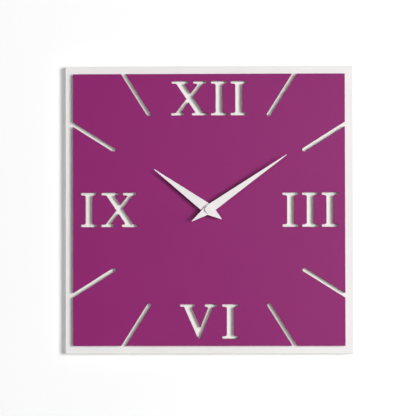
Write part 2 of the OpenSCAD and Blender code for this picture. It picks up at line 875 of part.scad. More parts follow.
module setting_stem()
    color("ivory") {
        shaft(knob_at, pin_r - running, case_floor + end_play, motion_level[0]);
        inside(motion_level) gear(knob_at, knob_teeth, motion_m, knob_phase);
        shaft(knob_at, stem_r, motion_level[1], knob_level[1]);
    }

// ---- Wheel train -----------------------------------------------------------------------

module toothed_wheel(at, level, teeth, m, bore)
    color("ivory") inside(level) difference() {
        gear(at, teeth, m, 0);
        disc(at, bore);
    }

module third_wheel() toothed_wheel(third_at, third_level, third_teeth, third_m, arbor_r);

// An arbor with a pinion on it, from its front pivot's end to its pivot in the bridge.
module arbor(at, front, shoulder, pinion) {
    shaft(at, pivot_r, front, shoulder);
    shaft(at, arbor_r, shoulder, pinion[0]);
    inside(pinion) children();
    rear_pivot(at, pinion[1]);
}

module rear_pivot(at, from) {
    shoulder = bridge_level[0] - shoulder_play;
    shaft(at, arbor_r, from, shoulder);
    shaft(at, pivot_r, shoulder, pivot_end);
}

// The same for an arbor whose front pivot runs in the middle plate.
module mid_arbor(at, pinion)
    arbor(at, mid_level[0] + end_play, mid_level[1] + shoulder_play, pinion) children();

module third_arbor()
    color("ivory")
        arbor(third_at, third_post_level[0] + shoulder_play, third_post_level[1] + shoulder_play,
            pinion_level(centre_level))
            gear(third_at, third_pinion_teeth, centre_m, third_phase);

module seconds_wheel()
    toothed_wheel([0, 0], seconds_level, seconds_teeth, seconds_m, arbor_r);

module seconds_arbor() {
    pinion = pinion_level(third_level);
    color("silver") {
        layer(minute_blade + seconds_short, case_y + pinion[0]) circle(seconds_r);
        inside(pinion) gear([0, 0], seconds_pinion_teeth, third_m, seconds_phase);
        rear_pivot([0, 0], pinion[1]);
    }
}

module fifth_wheel() toothed_wheel(fifth_at, fifth_level, fifth_teeth, fifth_m, arbor_r);

module fifth_arbor()
    color("ivory") mid_arbor(fifth_at, pinion_level(seconds_level))
        gear(fifth_at, fifth_pinion_teeth, seconds_m, fifth_phase);

module rotor_magnet()
    color("dimgrey") inside(magnet_level) ring(rotor_at, magnet_r, arbor_r);

module rotor_arbor()
    color("ivory") mid_arbor(rotor_at, pinion_level(fifth_level))
        gear(rotor_at, rotor_teeth, fifth_m, rotor_phase);

back_board();
front_panel();
panel_screws();
hanger_plate();
hanger_screws();
wall_bumpers();
case_front();
case_back();
centre_bush();
rubber_washer();
steel_washer();
fixing_nut();
mid_plate();
train_bridge();
stator();
coil_core();
coil_bobbin();
coil_winding();
coil_screws();
circuit_board();
clock_chip();
quartz_can();
contact_positive();
contact_negative();
contact_spring();
cell_can();
cell_terminal();
minute_hand();
minute_cap();
minute_collet();
minute_arbor();
centre_wheel();
clutch_spring();
hour_hand();
hour_collet();
hour_wheel();
minute_wheel();
setting_knob();
setting_stem();
third_wheel();
third_arbor();
seconds_wheel();
seconds_arbor();
fifth_wheel();
fifth_arbor();
rotor_magnet();
rotor_arbor();
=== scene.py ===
"""Looks of the square wall clock: finishes, fine detail, wall and floor, light and camera."""

import json
import math

import bmesh
import bpy
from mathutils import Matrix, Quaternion, Vector


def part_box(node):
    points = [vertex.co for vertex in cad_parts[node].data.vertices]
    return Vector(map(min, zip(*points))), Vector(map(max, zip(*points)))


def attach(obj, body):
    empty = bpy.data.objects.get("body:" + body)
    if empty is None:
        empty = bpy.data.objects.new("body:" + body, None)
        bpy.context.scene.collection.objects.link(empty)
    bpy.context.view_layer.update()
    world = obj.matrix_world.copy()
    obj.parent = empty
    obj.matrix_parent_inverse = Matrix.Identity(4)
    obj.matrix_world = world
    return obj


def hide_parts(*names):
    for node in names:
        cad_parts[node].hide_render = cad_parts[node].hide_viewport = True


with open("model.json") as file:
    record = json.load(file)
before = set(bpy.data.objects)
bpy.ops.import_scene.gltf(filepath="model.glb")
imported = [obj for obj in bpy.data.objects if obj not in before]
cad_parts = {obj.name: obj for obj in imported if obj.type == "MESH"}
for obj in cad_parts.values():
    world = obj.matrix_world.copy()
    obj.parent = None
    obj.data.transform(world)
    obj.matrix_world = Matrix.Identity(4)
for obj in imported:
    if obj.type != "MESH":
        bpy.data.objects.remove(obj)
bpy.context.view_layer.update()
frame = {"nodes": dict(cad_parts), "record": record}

MM = 0.001
nodes = frame["nodes"]
slot_of = {part["node"]: part["material_slot"] for part in frame["record"]["subparts"]}


def middle(node):
    """The middle of a CAD node's box."""
    low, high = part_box(node)
    return (low + high) / 2


dial = middle("minute_cap")
wall_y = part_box("wall_bumpers")[1].y
board_low, board_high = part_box("back_board")
panel_low, panel_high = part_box("front_panel")
case_low, case_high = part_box("case_front")
cover_low, cover_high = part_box("case_back")
knob_low, knob_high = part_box("setting_knob")


# ---- Patterns and materials --------------------------------------------------------------


class Finish:
    """One material: a Principled shader fed by patterns that are fixed to the object."""

    def __init__(self, name, **sockets):
        self.material = bpy.data.materials.new(name)
        self.material.use_nodes = True
        self.tree = self.material.node_tree
        self.shader = self.tree.nodes["Principled BSDF"]
        self.place = self.node("TexCoord").outputs["Object"]
        for socket, value in sockets.items():
            self.feed(value, self.shader.inputs[socket.replace("_", " ")])

    def feed(self, value, socket):
        """Links a node's output to a socket, or sets the socket to a plain value."""
        if isinstance(value, bpy.types.NodeSocket):
            self.tree.links.new(value, socket)
        else:
            socket.default_value = value

    def node(self, kind, inputs=None, **settings):
        """A new shader node with its inputs fed and its settings made."""
        made = self.tree.nodes.new("ShaderNode" + kind)
        for setting, value in settings.items():
            setattr(made, setting, value)
        for socket, value in (inputs or {}).items():
            self.feed(value, made.inputs[socket])
        return made

    def axis(self, letter):
        """Object coordinate along one axis, in metres."""
        return self.node("SeparateXYZ", {0: self.place}).outputs[letter]

    def stretched(self, stretch):
        """Object coordinates scaled along each axis."""
        return self.node("Mapping", {0: self.place, "Scale": stretch}).outputs[0]

    def noise(self, size, detail=2.0, stretch=None):
        """Smooth noise from 0 to 1 whose features are about size metres across."""
        place = self.stretched(stretch) if stretch else self.place
        inputs = {"Vector": place, "Scale": 1 / size, "Detail": detail}
        return self.node("TexNoise", inputs).outputs["Fac"]

    def specks(self, size):
        """Distance to the nearest of many scattered points, in units of size metres."""
        inputs = {"Vector": self.place, "Scale": 1 / size}
        return self.node("TexVoronoi", inputs).outputs["Distance"]

    def ridges(self, letter, pitch):
        """Even ridges across one axis, from 0 to 1."""
        turn = self.maths("MULTIPLY", self.axis(letter), 2 * math.pi / pitch)
        return self.span(self.maths("SINE", turn), -1.0, 1.0)

    def span(self, value, low, high, to_low=0.0, to_high=1.0):
        """Maps low..high to to_low..to_high, clamped."""
        inputs = {
            "Value": value, "From Min": low, "From Max": high, "To Min": to_low, "To Max": to_high,
        }
        return self.node("MapRange", inputs).outputs["Result"]

    def maths(self, operation, first, second=0.0):
        """The result of one operation on one or two numbers."""
        return self.node("Math", {0: first, 1: second}, operation=operation).outputs[0]

    def mix(self, factor, first, second):
        """A colour between two colours."""
        made = self.node("Mix", data_type="RGBA")
        for socket, value in ((0, factor), (6, first), (7, second)):
            self.feed(value, made.inputs[socket])
        return made.outputs[2]

    def blend(self, factor, first, second):
        """A number between two numbers."""
        made = self.node("Mix", data_type="FLOAT")
        for socket, value in ((0, factor), (2, first), (3, second)):
            self.feed(value, made.inputs[socket])
        return made.outputs[0]

    def inside_square(self, centre, half):
        """1 inside a square of the dial's plane, 0 outside it."""
        across = self.maths("ABSOLUTE", self.maths("SUBTRACT", self.axis("X"), centre.x))
        up = self.maths("ABSOLUTE", self.maths("SUBTRACT", self.axis("Z"), centre.z))
        return self.maths("LESS_THAN", self.maths("MAXIMUM", across, up), half)

    def bump(self, height, distance, below=None):
        """Relief of that many metres, on top of an earlier relief."""
        inputs = {"Height": height, "Distance": distance, "Strength": 1.0}
        if below:
            inputs["Normal"] = below
        return self.node("Bump", inputs).outputs["Normal"]

    def paint(self, colour, roughness=None, relief=None):
        """Feeds the shader and returns the finished material."""
        for socket, value in (("Base Color", colour), ("Roughness", roughness), ("Normal", relief)):
            if value is not None:
                self.feed(value, self.shader.inputs[socket])
        return self.material


def rgb(red, green, blue):
    return (red, green, blue, 1.0)


FIBRE_PALE = rgb(0.42, 0.30, 0.19)
FIBRE_DARK = rgb(0.27, 0.18, 0.105)
PRIMER = rgb(0.66, 0.65, 0.62)
MARK_HIGHLIGHT = rgb(0.075, 0.075, 0.078)      # painted highlight: paler black plastic on the tops of raised marks
ORANGE_PEEL = 0.012 * MM               # relief of sprayed lacquer, and of the grain in it
FINE_GRAIN = 0.004 * MM
TOOL_MARKS = 0.004 * MM                # relief of the marks in metal
MARKS_FROM = 0.05 * MM                 # behind a moulded face, where its raised marks and their painted highlight begin
WINDOW_PLAY = 1.9 * MM                 # from the movement's case to the side of its hollow
GOLD_BAND = 11 * MM                    # how much of the cell's sleeve is metallic


def sprayed(f):
    """The relief of sprayed lacquer: orange peel with a fine grain on it."""
    peel = f.bump(f.noise(2.2 * MM, 1.0), ORANGE_PEEL)
    return f.bump(f.noise(0.35 * MM, 1.0), FINE_GRAIN, peel)


def lacquer(name, colour, deep):
    """Sprayed satin lacquer: soft mottling, orange peel and a fine grain."""
    f = Finish(name, Specular_IOR_Level=0.2)
    mottled = f.mix(f.span(f.noise(0.04, 4.0), 0.3, 0.7), colour, deep)
    return f.paint(mottled, f.span(f.noise(1.2 * MM, 3.0), 0.3, 0.7, 0.42, 0.5), sprayed(f))


def lacquered_board(name, colour, deep, edge, edge_half, box, hollow):
    """Lacquer on fibreboard, thin on the cut edges within edge_half, with primer rolled on behind.

    The hollow that is milled for the movement is bare.
    """
    front, back = (corner.y for corner in box)
    f = Finish(name, Specular_IOR_Level=0.15)
    facing = f.node("SeparateXYZ", {0: f.node("TexCoord").outputs["Normal"]}).outputs["Y"]
    upright = f.span(f.maths("ABSOLUTE", facing), 0.2, 0.6, 1.0, 0.0)
    cut = f.maths("MULTIPLY", upright, f.inside_square(dial, edge_half))
    thirst = f.span(f.noise(1.5 * MM, 5.0, (1, 0.4, 1)), 0.2, 0.8, 0.7, 1.0)
    sprayed_on = f.mix(f.span(f.noise(0.04, 4.0), 0.3, 0.7), colour, deep)
    mottled = f.mix(f.maths("MULTIPLY", cut, thirst), sprayed_on, edge)
    rolled = f.mix(f.noise(6 * MM, 5.0), PRIMER, colour)
    behind = f.maths("GREATER_THAN", f.axis("Y"), back - 0.1 * MM)
    fibre = f.mix(f.span(f.noise(0.9 * MM, 6.0, (1, 2.5, 1)), 0.35, 0.65), FIBRE_PALE, FIBRE_DARK)
    milled = f.maths("GREATER_THAN", f.axis("Y"), front + 0.5 * MM)
    bare = f.maths("MULTIPLY", milled, f.inside_square(dial, hollow))
    colours = f.mix(bare, f.mix(behind, mottled, rolled), fibre)
    satin = f.span(f.noise(1.2 * MM, 3.0), 0.3, 0.7, 0.42, 0.5)
    rough = f.maths("MAXIMUM", behind, bare)
    coarse = f.bump(f.maths("MULTIPLY", f.noise(1.1 * MM, 4.0), rough), 0.12 * MM, sprayed(f))
    return f.paint(colours, f.blend(rough, satin, 0.8), coarse)


def metal(name, colour, second_tone, rough, size, stretch=None):
    """Plated or bare metal: cloudy reflectivity, fine tool marks and tarnish in patches."""
    f = Finish(name, Metallic=1.0)
    cloudy = f.mix(f.span(f.noise(3 * MM, 5.0), 0.35, 0.7), colour, second_tone)
    marks = f.noise(size, 3.0, stretch)
    return f.paint(cloudy, f.span(marks, 0.25, 0.75, rough[0], rough[1]), f.bump(marks, TOOL_MARKS))


def plastic(name, colour, shade, rough, grain, relief):
    """Moulded plastic: even colour with faint flow clouds, and the mould's eroded texture."""
    f = Finish(name, Specular_IOR_Level=0.4)
    flow = f.mix(f.span(f.noise(12 * MM, 3.0), 0.35, 0.65), colour, shade)
    sparks = f.bump(f.noise(grain, 3.0), relief)
    return f.paint(flow, f.span(f.noise(2 * MM, 3.0), 0.3, 0.7, rough[0], rough[1]), sparks)


def plastic_with_highlit_marks(name, colour, shade, raised_from):
    """Spark-eroded plastic whose marks raised behind a given depth are painted paler, a painted
    highlight on their tops, and are made glossier.
    """
    f = Finish(name, Specular_IOR_Level=0.4)
    flow = f.mix(f.span(f.noise(12 * MM, 3.0), 0.35, 0.65), colour, shade)
    # mask of the raised marks, which get the painted highlight
    second_tone = f.maths("GREATER_THAN", f.axis("Y"), raised_from)
    highlight_and_gloss = f.maths("MULTIPLY", second_tone, f.span(f.noise(0.8 * MM, 4.0), 0.3, 0.6, 0.75, 1.0))
    eroded = f.span(f.noise(2 * MM, 3.0), 0.3, 0.7, 0.46, 0.6)
    sparks = f.bump(f.noise(0.16 * MM, 3.0), 0.03 * MM)
    return f.paint(f.mix(highlight_and_gloss, flow, MARK_HIGHLIGHT), f.blend(highlight_and_gloss, eroded, 0.3), sparks)


def winding_wire():
    """Enamelled wire wound side by side along X, in slightly uneven turns, with painted shade in
    the grooves between them.
    """
    f = Finish("copper_wire", Metallic=0.85, Coat_Weight=0.6, Coat_Roughness=0.12)
    turns = f.ridges("X", 0.16 * MM)
    colour = f.mix(f.noise(1.5 * MM, 2.0), rgb(0.56, 0.19, 0.06), rgb(0.36, 0.10, 0.03))
    # the valleys between turns take a dark colour: painted shade between the wires
    return f.paint(f.mix(turns, rgb(0.16, 0.04, 0.012), colour), 0.3, f.bump(turns, 0.05 * MM))


def solder_mask():
    """Green mask with paler tracks under it and a fine weave of glass cloth."""
    f = Finish("circuit_green", Specular_IOR_Level=0.6)
    crossing = f.maths("MULTIPLY", f.ridges("X", 2.1 * MM), f.ridges("Z", 5.3 * MM))
    tracks = f.maths("GREATER_THAN", crossing, 0.62)
    weave = f.maths("MULTIPLY", f.ridges("X", 0.4 * MM), f.ridges("Z", 0.4 * MM))
    green = f.mix(weave, rgb(0.012, 0.085, 0.03), rgb(0.016, 0.105, 0.038))
    return f.paint(f.mix(tracks, green, rgb(0.04, 0.19, 0.075)), 0.32, f.bump(tracks, 0.03 * MM))


def shrink_sleeve(gold_from):
    """Printed-free film round the cell: a dark band, a metallic band, and fine creases."""
    f = Finish("cell_sleeve", Coat_Weight=0.7, Coat_Roughness=0.1, Metallic=0.35)
    band = f.maths("GREATER_THAN", f.axis("X"), gold_from)
    film = f.mix(f.noise(4 * MM, 3.0), rgb(0.012, 0.10, 0.045), rgb(0.008, 0.072, 0.033))
    gold = f.mix(f.noise(2 * MM, 3.0), rgb(0.55, 0.42, 0.20), rgb(0.45, 0.33, 0.14))
    creases = f.noise(1.4 * MM, 3.0, (0.25, 1, 1))
    rough = f.span(creases, 0.3, 0.7, 0.22, 0.36)
    return f.paint(f.mix(band, film, gold), rough, f.bump(creases, 0.03 * MM))


def ferrite():
    """Sintered magnet: dark grey with pores and bright grains."""
    f = Finish("rotor_ferrite", Metallic=0.5)
    grains = f.span(f.specks(0.25 * MM), 0.1, 0.6)
    colour = f.mix(grains, rgb(0.10, 0.10, 0.105), rgb(0.035, 0.035, 0.037))
    return f.paint(colour, 0.55, f.bump(grains, 0.02 * MM))


def rubber():
    """Matt black rubber with a bloom and dust that it has picked up."""
    f = Finish("black_rubber", Specular_IOR_Level=0.25)
    dust = f.span(f.noise(1.5 * MM, 6.0), 0.55, 0.75)
    colour = f.mix(dust, rgb(0.018, 0.018, 0.019), rgb(0.07, 0.068, 0.065))
    dull = f.span(f.noise(3 * MM, 3.0), 0.3, 0.7, 0.7, 0.9)
    return f.paint(colour, dull, f.bump(f.noise(0.3 * MM, 3.0), 0.03 * MM))


window_half = case_high.x + WINDOW_PLAY
board_half = (board_high.x - board_low.x) / 2
panel_half = (panel_high.x - panel_low.x) / 2
FINISHES = {
    "white_lacquer": lacquered_board(
        "white_lacquer",
        rgb(0.765, 0.76, 0.75), rgb(0.74, 0.735, 0.722), rgb(0.70, 0.69, 0.665),
        board_half + MM, (board_low, board_high), window_half,
    ),
    "purple_lacquer": lacquered_board(
        "purple_lacquer",
        rgb(0.229, 0.0035, 0.126), rgb(0.221, 0.003, 0.121), rgb(0.50, 0.42, 0.34),
        panel_half - 0.2 * MM, (panel_low, panel_high), window_half,
    ),
    "white_hand": lacquer("white_hand", rgb(0.735, 0.705, 0.71), rgb(0.715, 0.685, 0.69)),
    "zinc_screw": metal(
        "zinc_screw", rgb(0.66, 0.68, 0.70), rgb(0.50, 0.52, 0.53),
        (0.22, 0.4), 0.2 * MM,
    ),
    "zinc_plate": metal(
        "zinc_plate", rgb(0.60, 0.61, 0.61), rgb(0.44, 0.45, 0.45),
        (0.3, 0.52), 1.6 * MM, (0.15, 1, 1),
    ),
    "black_rubber": rubber(),
    # raised marks on the movement's cover get a painted highlight
    "case_plastic": plastic_with_highlit_marks(
        "case_plastic", rgb(0.017, 0.017, 0.019), rgb(0.022, 0.022, 0.024),
        cover_high.y + MARKS_FROM,
    ),
    "brass": metal(
        "brass", rgb(0.75, 0.53, 0.22), rgb(0.52, 0.34, 0.13),
        (0.2, 0.36), 0.2 * MM, (0.2, 3, 0.2),
    ),
    "nickel_steel": metal(
        "nickel_steel", rgb(0.70, 0.68, 0.64), rgb(0.56, 0.54, 0.50),
        (0.14, 0.3), 0.3 * MM, (0.3, 2, 0.3),
    ),
    "ivory_plastic": plastic(
        "ivory_plastic", rgb(0.70, 0.65, 0.52), rgb(0.64, 0.585, 0.455),
        (0.34, 0.46), 0.3 * MM, 0.008 * MM,
    ),
    "wheel_plastic": plastic(
        "wheel_plastic", rgb(0.76, 0.745, 0.70), rgb(0.70, 0.68, 0.63),
        (0.22, 0.34), 0.4 * MM, 0.004 * MM,
    ),
    "core_steel": metal(
        "core_steel", rgb(0.34, 0.34, 0.36), rgb(0.22, 0.22, 0.235),
        (0.3, 0.48), 0.4 * MM, (0.12, 1, 1),
    ),
    "copper_wire": winding_wire(),
    "circuit_green": solder_mask(),
    "black_epoxy": plastic(
        "black_epoxy", rgb(0.008, 0.008, 0.009), rgb(0.012, 0.012, 0.012),
        (0.1, 0.2), 1.2 * MM, 0.06 * MM,
    ),
    "contact_steel": metal(
        "contact_steel", rgb(0.74, 0.73, 0.70), rgb(0.58, 0.57, 0.54),
        (0.2, 0.36), 0.25 * MM, (1, 1, 0.15),
    ),
    "cell_sleeve": shrink_sleeve(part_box("cell_can")[1].x - GOLD_BAND),
    # the knob's raised hub and ribs get a painted highlight
    "knob_plastic": plastic_with_highlit_marks(
        "knob_plastic", rgb(0.03, 0.03, 0.033), rgb(0.038, 0.038, 0.041),
        knob_high.y + MARKS_FROM,
    ),
    "rotor_ferrite": ferrite(),
}
for name, node in nodes.items():
    node.data.materials[0] = FINISHES[slot_of[name]]


# ---- Soft edges on the CAD's solids ------------------------------------------------------

EDGE_ANGLE = math.radians(50)          # edges sharper than this are rounded
FLAT_ANGLE = math.radians(0.3)         # triangles flatter than this are one face
WELD_REACH = 0.0005 * MM
EDGES = {                              # how much each node's edges are rounded, in millimetres
    "back_board": 0.5, "front_panel": 0.3, "wall_bumpers": 0.6, "hanger_plate": 0.25,
    "case_back": 0.3, "minute_hand": 0.12, "hour_hand": 0.12, "minute_collet": 0.2,
    "hour_collet": 0.2, "steel_washer": 0.12, "fixing_nut": 0.25, "setting_knob": 0.12,
}


def soften(piece, width, steps=2):
    """Rounds the sharp edges of a closed piece and keeps its flat faces flat."""
    bevel = piece.modifiers.new("soft_edges", "BEVEL")
    bevel.width = width
    bevel.segments = steps
    bevel.limit_method = "ANGLE"
    bevel.angle_limit = EDGE_ANGLE
    bevel.use_clamp_overlap = False
    shaded = piece.modifiers.new("flat_faces", "WEIGHTED_NORMAL")
    shaded.weight = 100
    for face in piece.data.polygons:
        face.use_smooth = True


def make_whole(piece):
    """Joins the corners that the loaded solid keeps apart, and its triangles into whole faces."""
    joined = piece.modifiers.new("joined", "WELD")
    joined.merge_threshold = WELD_REACH
    merged = piece.modifiers.new("whole_faces", "DECIMATE")
    merged.decimate_type = "DISSOLVE"
    merged.angle_limit = FLAT_ANGLE


for name, width in EDGES.items():
    make_whole(nodes[name])
    soften(nodes[name], width * MM)


# ---- Pieces that the camera sees but the joints don't need -------------------------------


def piece_of(mesh, name, body, slot):
    """Puts a finished bmesh in the scene, riding on a body, in a slot's finish."""
    bmesh.ops.recalc_face_normals(mesh, faces=mesh.faces)
    data = bpy.data.meshes.new(name)
    mesh.to_mesh(data)
    mesh.free()
    piece = bpy.data.objects.new(name, data)
    bpy.context.scene.collection.objects.link(piece)
    data.materials.append(FINISHES[slot])
    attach(piece, body)
    return piece


def in_mm(points):
    """Points given in millimetres, in metres."""
    return [(first * MM, second * MM) for first, second in points]


def lathe_into(mesh, profile, start, along, steps=64):
    """Adds the surface that a closed (distance along, radius) profile sweeps about an axis."""
    start = Vector(start)
    along = Vector(along).normalized()
    side = along.orthogonal().normalized()
    up = along.cross(side)
    rings = []
    for step in range(steps):
        turn = 2 * math.pi * step / steps
        out = side * math.cos(turn) + up * math.sin(turn)
        places = [start + along * far + out * radius for far, radius in profile]
        rings.append([mesh.verts.new(place) for place in places])
    for step in range(steps):
        here, there = rings[step], rings[(step + 1) % steps]
        for point in range(len(profile)):
            following = (point + 1) % len(profile)
            mesh.faces.new((here[point], here[following], there[following], there[point]))
    bmesh.ops.remove_doubles(mesh, verts=mesh.verts, dist=0.001 * MM)


def slab_into(mesh, outline, front, back):
    """Adds a flat slab with an outline in X and Z, between two planes across Y."""
    near = [mesh.verts.new((x, front, z)) for x, z in outline]
    far = [mesh.verts.new((x, back, z)) for x, z in outline]
    mesh.faces.new(near)
    mesh.faces.new(far[::-1])
    for n in range(len(outline)):
        follow = (n + 1) % len(outline)
        mesh.faces.new((near[n], far[n], far[follow], near[follow]))


CORNER_STEPS = 6


def rounded_outline(low_x, low_z, high_x, high_z, radius):
    """Corner points of a rectangle with round corners, counterclockwise."""
    centres = (
        (high_x - radius, high_z - radius), (low_x + radius, high_z - radius),
        (low_x + radius, low_z + radius), (high_x - radius, low_z + radius),
    )
    points = []
    for quarter, (x, z) in enumerate(centres):
        for step in range(CORNER_STEPS + 1):
            turn = math.pi / 2 * (quarter + step / CORNER_STEPS)
            points.append((x + radius * math.cos(turn), z + radius * math.sin(turn)))
    return points


def inset_outline(low, high, inset, radius):
    """Outline with round corners that runs inside a box's front face, inset from its sides."""
    return rounded_outline(low.x + inset, low.z + inset, high.x - inset, high.z - inset, radius)


def frame_into(mesh, outer, inner, front, back):
    """Adds a flat frame between two outlines of equally many points."""
    loops = [
        [mesh.verts.new((x, y, z)) for x, z in outline]
        for outline, y in ((outer, front), (outer, back), (inner, back), (inner, front))
    ]
    for loop in range(4):
        here, there = loops[loop], loops[(loop + 1) % 4]
        for n in range(len(outer)):
            follow = (n + 1) % len(outer)
            mesh.faces.new((here[n], here[follow], there[follow], there[n]))


def point_at(centre, radius, degrees):
    """The point in X and Z at a distance and a direction from a centre."""
    turn = math.radians(degrees)
    return (centre.x + radius * math.cos(turn), centre.z + radius * math.sin(turn))


def arc_points(centre, radius, start, end, steps=14):
    """Points along an arc in X and Z, between two directions in degrees."""
    return [point_at(centre, radius, start + (end - start) * n / steps) for n in range(steps + 1)]


# The movement's cover: a moulded rim, setting arrows round the knob, battery signs, mould marks
SKIN = 0.05 * MM                       # how deep a moulded detail sits in what carries it
RIM_IN = 1.0 * MM
RIM_WIDTH = 1.5 * MM
RIM_HIGH = 0.9 * MM
RIM_CORNER = 1.6 * MM
cover_back = cover_high.y
knob = middle("setting_knob")
knob_r = (knob_high.x - knob_low.x) / 2

rim = bmesh.new()
frame_into(
    rim,
    inset_outline(cover_low, cover_high, RIM_IN, RIM_CORNER),
    inset_outline(cover_low, cover_high, RIM_IN + RIM_WIDTH, RIM_CORNER / 2),
    cover_back - SKIN,
    cover_back + RIM_HIGH,
)
soften(piece_of(rim, "cover_rim", "clock_body", "case_plastic"), width=0.15 * MM)

ARROW_R = knob_r + 2.2 * MM
ARROW_WIDE = 1.2 * MM
ARROW_HEAD = 1.7 * MM                  # half of the head's width
ARROW_TIP = 2.2 * ARROW_HEAD           # how long the head is
ARROWS = ((132, 180), (118, 70))       # start and end directions from the knob, in degrees
RAISED = 0.6 * MM                      # how high the arrows and the battery signs stand


def arrow_into(mesh, start, end):
    """Adds a curved arrow round the knob, its head at the end direction."""
    head = math.degrees(ARROW_TIP / ARROW_R) * (1 if end > start else -1)
    outer = arc_points(knob, ARROW_R + ARROW_WIDE / 2, start, end)
    inner = arc_points(knob, ARROW_R - ARROW_WIDE / 2, end, start)
    wide = point_at(knob, ARROW_R + ARROW_HEAD, end)
    tip = point_at(knob, ARROW_R, end + head)
    narrow = point_at(knob, ARROW_R - ARROW_HEAD, end)
    slab_into(mesh, [*outer, wide, tip, narrow, *inner], cover_back - SKIN, cover_back + RAISED)


arrows = bmesh.new()
for start, end in ARROWS:
    arrow_into(arrows, start, end)
soften(piece_of(arrows, "setting_arrows", "clock_body", "case_plastic"), width=0.06 * MM)

SIGN_LONG = 4.2 * MM
SIGN_WIDE = 1.2 * MM
SIGN_UP = 5.5 * MM                     # from the cover's foot
PLUS_FROM_KNOB = 5.0 * MM
MINUS_FROM_SIDE = 7.0 * MM
sign_z = cover_low.z + SIGN_UP


def bar_outline(x, z, half_x, half_z):
    """Corner points of a bar, counterclockwise."""
    corners = ((1, 1), (-1, 1), (-1, -1), (1, -1))
    return [(x + across * half_x, z + up * half_z) for across, up in corners]


def plus_outline(x, z, reach, half):
    """Corner points of a plus sign: how far its arms reach, and half of their width."""
    quarter = [(reach, half), (half, half), (half, reach)]
    points = []
    for turn in range(4):
        for across, up in quarter:
            for _ in range(turn):
                across, up = -up, across
            points.append((x + across, z + up))
    return points


signs = bmesh.new()
for outline in (
    plus_outline(knob.x - knob_r - PLUS_FROM_KNOB, sign_z, SIGN_LONG / 2, SIGN_WIDE / 2),
    bar_outline(cover_low.x + MINUS_FROM_SIDE, sign_z, SIGN_LONG / 2, SIGN_WIDE / 2),
):
    slab_into(signs, outline, cover_back - SKIN, cover_back + RAISED)
soften(piece_of(signs, "battery_signs", "clock_body", "case_plastic"), width=0.08 * MM)

PIN_R = 1.5 * MM
PIN_RAISE = 0.12 * MM
PIN_PROFILE = (
    (-SKIN, PIN_R), (PIN_RAISE, PIN_R), (PIN_RAISE, PIN_R * 0.82), (PIN_RAISE / 3, PIN_R * 0.74),
    (PIN_RAISE / 3, 0), (-SKIN, 0),
)
PIN_PLACES = ((-19, 30), (-4, 31), (19, 31), (-19, 10))     # from the cover's foot, in millimetres
cover_foot = Vector(((cover_low.x + cover_high.x) / 2, cover_back, cover_low.z))
pin_marks = bmesh.new()
for x, z in PIN_PLACES:
    lathe_into(pin_marks, PIN_PROFILE, cover_foot + Vector((x, 0, z)) * MM, (0, 1, 0), steps=32)
piece_of(pin_marks, "mould_pin_marks", "clock_body", "case_plastic")

# Snap clips that hold the cover, two on each side: a strap along the wall, and a hook over the edge
CLIP_LONG = 5.0 * MM
CLIP_OUT = 0.5 * MM                    # how far a clip stands off the case's side
CLIP_LIP = 1.4 * MM                    # how far its hook reaches over the cover
CLIP_CORNER = 0.2 * MM
CLIP_FROM_ENDS = 9 * MM
HOOK_BELOW = 0.3 * MM                  # the hook's front and back, from the cover's back face
HOOK_ABOVE = 0.5 * MM
strap_front = (case_low.y + case_high.y) / 2
hook_front = cover_back - HOOK_BELOW
hook_back = cover_back + HOOK_ABOVE
STRAP = (SKIN, strap_front, hook_front)        # how far inwards, and between which planes
HOOK = (CLIP_LIP, hook_front, hook_back)
clips = bmesh.new()
for side, wall_x in ((-1, case_low.x), (1, case_high.x)):
    for z in (cover_low.z + CLIP_FROM_ENDS, cover_high.z - CLIP_FROM_ENDS):
        for inwards, front, back in (STRAP, HOOK):
            low_x, high_x = sorted((wall_x - side * inwards, wall_x + side * CLIP_OUT))
            low_z, high_z = z - CLIP_LONG / 2, z + CLIP_LONG / 2
            outline = rounded_outline(low_x, low_z, high_x, high_z, CLIP_CORNER)
            slab_into(clips, outline, front, back)
soften(piece_of(clips, "cover_clips", "clock_body", "case_plastic"), width=0.12 * MM)

# The knob's moulded hub and its grip ribs
HUB = [(-0.2, 0), (-0.2, 2.3), (0.1, 2.3), (0.22, 2.15), (0.22, 1.5), (0.02, 1.35), (0.02, 0)]
RIBS = 12
RIB_START = 2.9 * MM                   # from the knob's axis
RIB_STOP = 0.9 * MM                    # short of the knob's rim
RIB_HALF = 0.3 * MM
RIB_RAISED = 0.3 * MM
rib_end = knob_r - RIB_STOP
hub = bmesh.new()
knob_back = Vector((knob.x, knob_high.y, knob.z))
lathe_into(hub, in_mm(HUB), knob_back, (0, 1, 0), steps=48)
for rib in range(RIBS):
    turn = 2 * math.pi * rib / RIBS
    out = Vector((math.cos(turn), 0, math.sin(turn)))
    side = Vector((-math.sin(turn), 0, math.cos(turn))) * RIB_HALF
    near, far = (knob_back + out * reach for reach in (RIB_START, rib_end))
    corners = (near + side, near - side, far - side, far + side)
    outline = [(corner.x, corner.z) for corner in corners]
    slab_into(hub, outline, knob_back.y - SKIN, knob_back.y + RIB_RAISED)
piece_of(hub, "knob_hub", "setter", "knob_plastic")

# The battery cell: steel can in a shrunk sleeve, with its crimps, rings and terminal
can_low, can_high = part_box("cell_can")
nub_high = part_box("cell_terminal")[1]
cell = middle("cell_can")
can_r = (can_high.z - can_low.z) / 2
can_start = Vector((can_low.x, cell.y, cell.z))
can_long = can_high.x - can_low.x
nub_long = nub_high.x - can_high.x


def along_can(start, points):
    """Profile points given in millimetres: along the can from start, and inwards from its side."""
    return [(start + along * MM, can_r - inwards * MM) for along, inwards in points]


